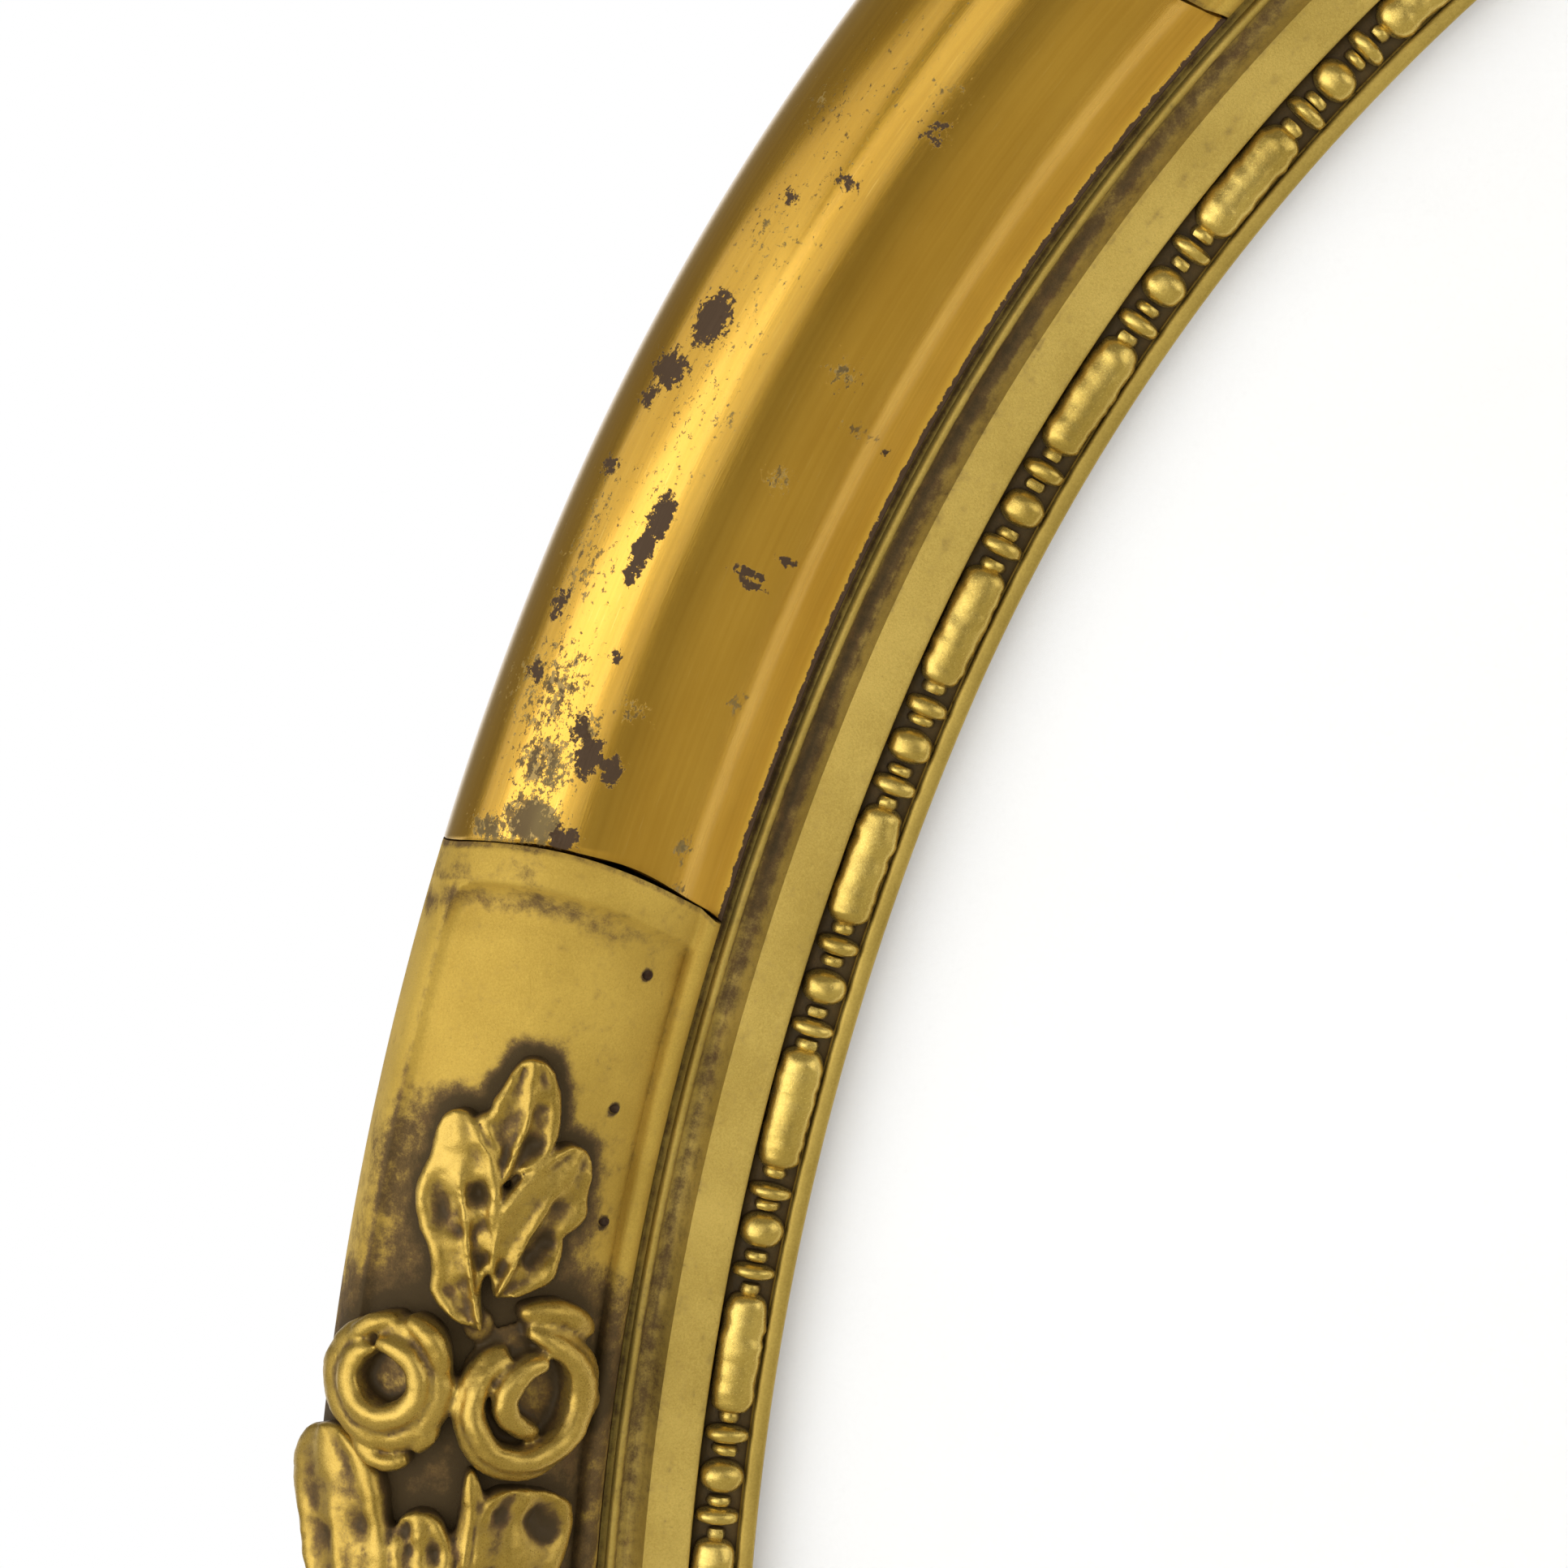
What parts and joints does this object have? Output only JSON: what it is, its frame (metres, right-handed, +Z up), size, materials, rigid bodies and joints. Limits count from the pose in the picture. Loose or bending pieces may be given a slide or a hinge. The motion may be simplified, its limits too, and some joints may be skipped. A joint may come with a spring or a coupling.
{
  "type": "oval picture frame",
  "caption": "Antique gilded oval picture frame with burnished bolsters, rose-and-leaf panels, bead-and-reel sight edge, glazing, backing with turn buttons and a hanging ring.",
  "frame": {"origin": "on the wall plane (the frame's back), behind the centre of the oval opening", "axes": "+Z up along the long axis of the oval, +X to the right seen from the front, the front faces -Y"},
  "size_m": [0.606, 0.0407, 0.77],
  "materials": {
    "core_wood": "aged bare wood, gilded lip",
    "tongue_wood": "plain",
    "burnished_gilding": "burnished gold leaf over red-brown bole, worn",
    "matte_gilding": "matte gold leaf, toned",
    "cast_gilding": "moulded composition under gold leaf, dark patina in the hollows",
    "iron": "dull",
    "glass": "clear",
    "card": "matte",
    "board": "aged softwood board",
    "brass": "dulled",
    "steel": "dulled"
  },
  "bodies": {
    "frame": {"core_right": "core_wood", "core_top": "core_wood", "core_left": "core_wood", "core_bottom": "core_wood", "core_tongues": "tongue_wood", "bolster_upper_right": "burnished_gilding", "sight_band_upper_right": "matte_gilding", "bead_strip_upper_right": "cast_gilding", "bolster_upper_left": "burnished_gilding", "sight_band_upper_left": "matte_gilding", "bead_strip_upper_left": "cast_gilding", "bolster_lower_left": "burnished_gilding", "sight_band_lower_left": "matte_gilding", "bead_strip_lower_left": "cast_gilding", "bolster_lower_right": "burnished_gilding", "sight_band_lower_right": "matte_gilding", "bead_strip_lower_right": "cast_gilding", "panel_right": "matte_gilding", "panel_top": "matte_gilding", "panel_left": "matte_gilding", "panel_bottom": "matte_gilding", "casting_right_spray_one": "cast_gilding", "casting_right_spray_two": "cast_gilding", "casting_right_centre": "cast_gilding", "casting_top_spray_one": "cast_gilding", "casting_top_spray_two": "cast_gilding", "casting_top_centre": "cast_gilding", "casting_left_spray_one": "cast_gilding", "casting_left_spray_two": "cast_gilding", "casting_left_centre": "cast_gilding", "casting_bottom_spray_one": "cast_gilding", "casting_bottom_spray_two": "cast_gilding", "casting_bottom_centre": "cast_gilding", "panel_brads": "iron", "glass_pane": "glass", "blank_card": "card", "backing_board": "board", "hanger_plate": "brass", "hanger_screws": "steel", "turn_button_screws": "steel"},
    "turn_button_1": {"turn_button_1": "brass"},
    "turn_button_2": {"turn_button_2": "brass"},
    "turn_button_3": {"turn_button_3": "brass"},
    "turn_button_4": {"turn_button_4": "brass"},
    "turn_button_5": {"turn_button_5": "brass"},
    "turn_button_6": {"turn_button_6": "brass"},
    "hanger_ring": {"hanger_ring": "brass"}
  },
  "joints": [
    {"name": "turn_button_1_turn", "type": "hinge", "parent": "frame", "child": "turn_button_1", "pos_m": [0.2496, -0.00385, 0], "axis": [0, 1, 0], "range_deg": [-90, 90]},
    {"name": "turn_button_2_turn", "type": "hinge", "parent": "frame", "child": "turn_button_2", "pos_m": [0.09999, -0.00385, 0.30481], "axis": [0, 1, 0], "range_deg": [-90, 90]},
    {"name": "turn_button_3_turn", "type": "hinge", "parent": "frame", "child": "turn_button_3", "pos_m": [-0.09999, -0.00385, 0.30481], "axis": [0, 1, 0], "range_deg": [-90, 90]},
    {"name": "turn_button_4_turn", "type": "hinge", "parent": "frame", "child": "turn_button_4", "pos_m": [-0.2496, -0.00385, 0], "axis": [0, 1, 0], "range_deg": [-90, 90]},
    {"name": "turn_button_5_turn", "type": "hinge", "parent": "frame", "child": "turn_button_5", "pos_m": [-0.09999, -0.00385, -0.30481], "axis": [0, 1, 0], "range_deg": [-90, 90]},
    {"name": "turn_button_6_turn", "type": "hinge", "parent": "frame", "child": "turn_button_6", "pos_m": [0.09999, -0.00385, -0.30481], "axis": [0, 1, 0], "range_deg": [-90, 90]},
    {"name": "hanger_ring_swing", "type": "hinge", "parent": "frame", "child": "hanger_ring", "pos_m": [0, -0.0042, 0.358], "axis": [1, 0, 0], "range_deg": [0, 180]}
  ]
}
